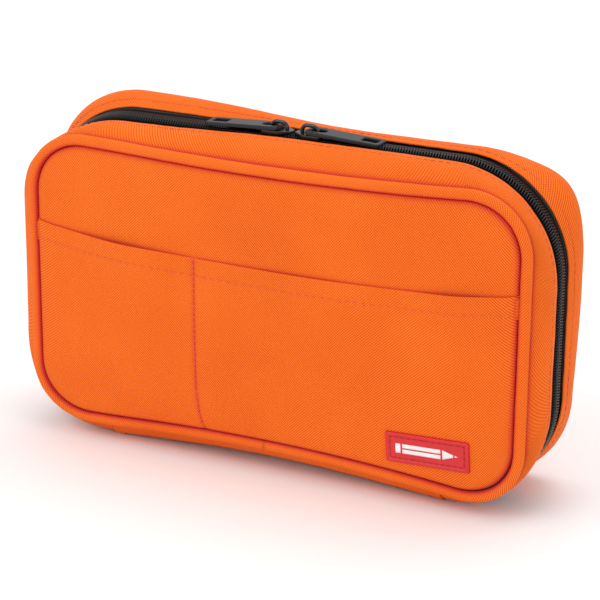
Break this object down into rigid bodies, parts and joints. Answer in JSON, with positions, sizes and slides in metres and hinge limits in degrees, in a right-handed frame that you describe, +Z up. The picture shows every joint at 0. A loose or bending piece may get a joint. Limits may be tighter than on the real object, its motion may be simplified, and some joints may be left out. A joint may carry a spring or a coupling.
{
  "type": "pencil case",
  "caption": "Book-style soft pencil case with a zip round three sides, piped edges, an outside slip pocket, a rubber label and a pocketed middle page.",
  "frame": {"origin": "middle of the underside, on the surface that the case stands on", "axes": "+X along the length, to the right seen from the front; +Z up; the front cover faces -Y"},
  "size_m": [0.2, 0.05, 0.1239],
  "materials": {
    "shell_fabric": "diagonal-weave polyester",
    "piping": "fabric-covered cord",
    "foam": "soft foam sheet",
    "lining": "plain-weave nylon lining",
    "binding": "woven binding tape",
    "zip_tape": "woven zip tape",
    "zip_coil": "nylon coil",
    "zip_stop": "moulded stop",
    "mesh": "open knitted mesh",
    "elastic": "ribbed elastic",
    "board": "flexible board",
    "slider_metal": "gloss black die casting",
    "pull_metal": "dark grey die casting",
    "label": "moulded soft rubber"
  },
  "bodies": {
    "back_shell": {"back_panel": "shell_fabric", "back_foam": "foam", "back_lining": "lining", "back_piping": "piping", "back_gusset": "shell_fabric", "back_gusset_lining": "lining", "back_binding": "binding", "back_spine": "shell_fabric", "back_zip_tape": "zip_tape", "back_zip_coil": "zip_coil", "slip_pocket": "lining", "slip_pocket_binding": "binding", "zip_stops": "zip_stop"},
    "front_shell": {"front_panel": "shell_fabric", "front_foam": "foam", "front_lining": "lining", "front_pocket": "shell_fabric", "front_piping": "piping", "front_gusset": "shell_fabric", "front_gusset_lining": "lining", "front_binding": "binding", "front_spine": "shell_fabric", "front_zip_tape": "zip_tape", "front_zip_coil": "zip_coil", "label": "label", "mesh_pocket": "mesh", "mesh_pocket_elastic": "elastic"},
    "page": {"page_board": "board", "page_front_cover": "lining", "page_back_cover": "lining", "page_binding": "binding", "page_hinge_strip": "lining", "front_pen_pocket": "lining", "back_pen_pocket": "lining"},
    "slider_left": {"slider_left": "slider_metal", "slider_crown_left": "slider_metal"},
    "slider_right": {"slider_right": "slider_metal", "slider_crown_right": "slider_metal"},
    "pull_left": {"pull_tab_left": "pull_metal"},
    "pull_right": {"pull_tab_right": "pull_metal"}
  },
  "joints": [
    {"name": "cover_hinge", "type": "hinge", "parent": "back_shell", "child": "front_shell", "pos_m": [0, -0.003, -0.0002], "axis": [1, 0, 0], "range_deg": [0, 180]},
    {"name": "page_hinge", "type": "hinge", "parent": "back_shell", "child": "page", "pos_m": [0, -0.003, -0.0002], "axis": [1, 0, 0], "range_deg": [0, 90]},
    {"name": "slider_left_slide", "type": "slide", "parent": "back_shell", "child": "slider_left", "axis": [-1, 0, 0], "range_m": [0, 0.052]},
    {"name": "slider_right_slide", "type": "slide", "parent": "back_shell", "child": "slider_right", "axis": [1, 0, 0], "range_m": [0, 0.049]},
    {"name": "pull_left_hinge", "type": "hinge", "parent": "slider_left", "child": "pull_left", "pos_m": [-0.00395, -0.003, 0.1216], "axis": [0, 1, 0], "range_deg": [0, 100]},
    {"name": "pull_right_hinge", "type": "hinge", "parent": "slider_right", "child": "pull_right", "pos_m": [0.00755, -0.003, 0.1216], "axis": [0, -1, 0], "range_deg": [0, 100]}
  ],
  "couplings": [
    {"joint": "page_hinge", "follows": "cover_hinge", "ratio": 0.5}
  ]
}
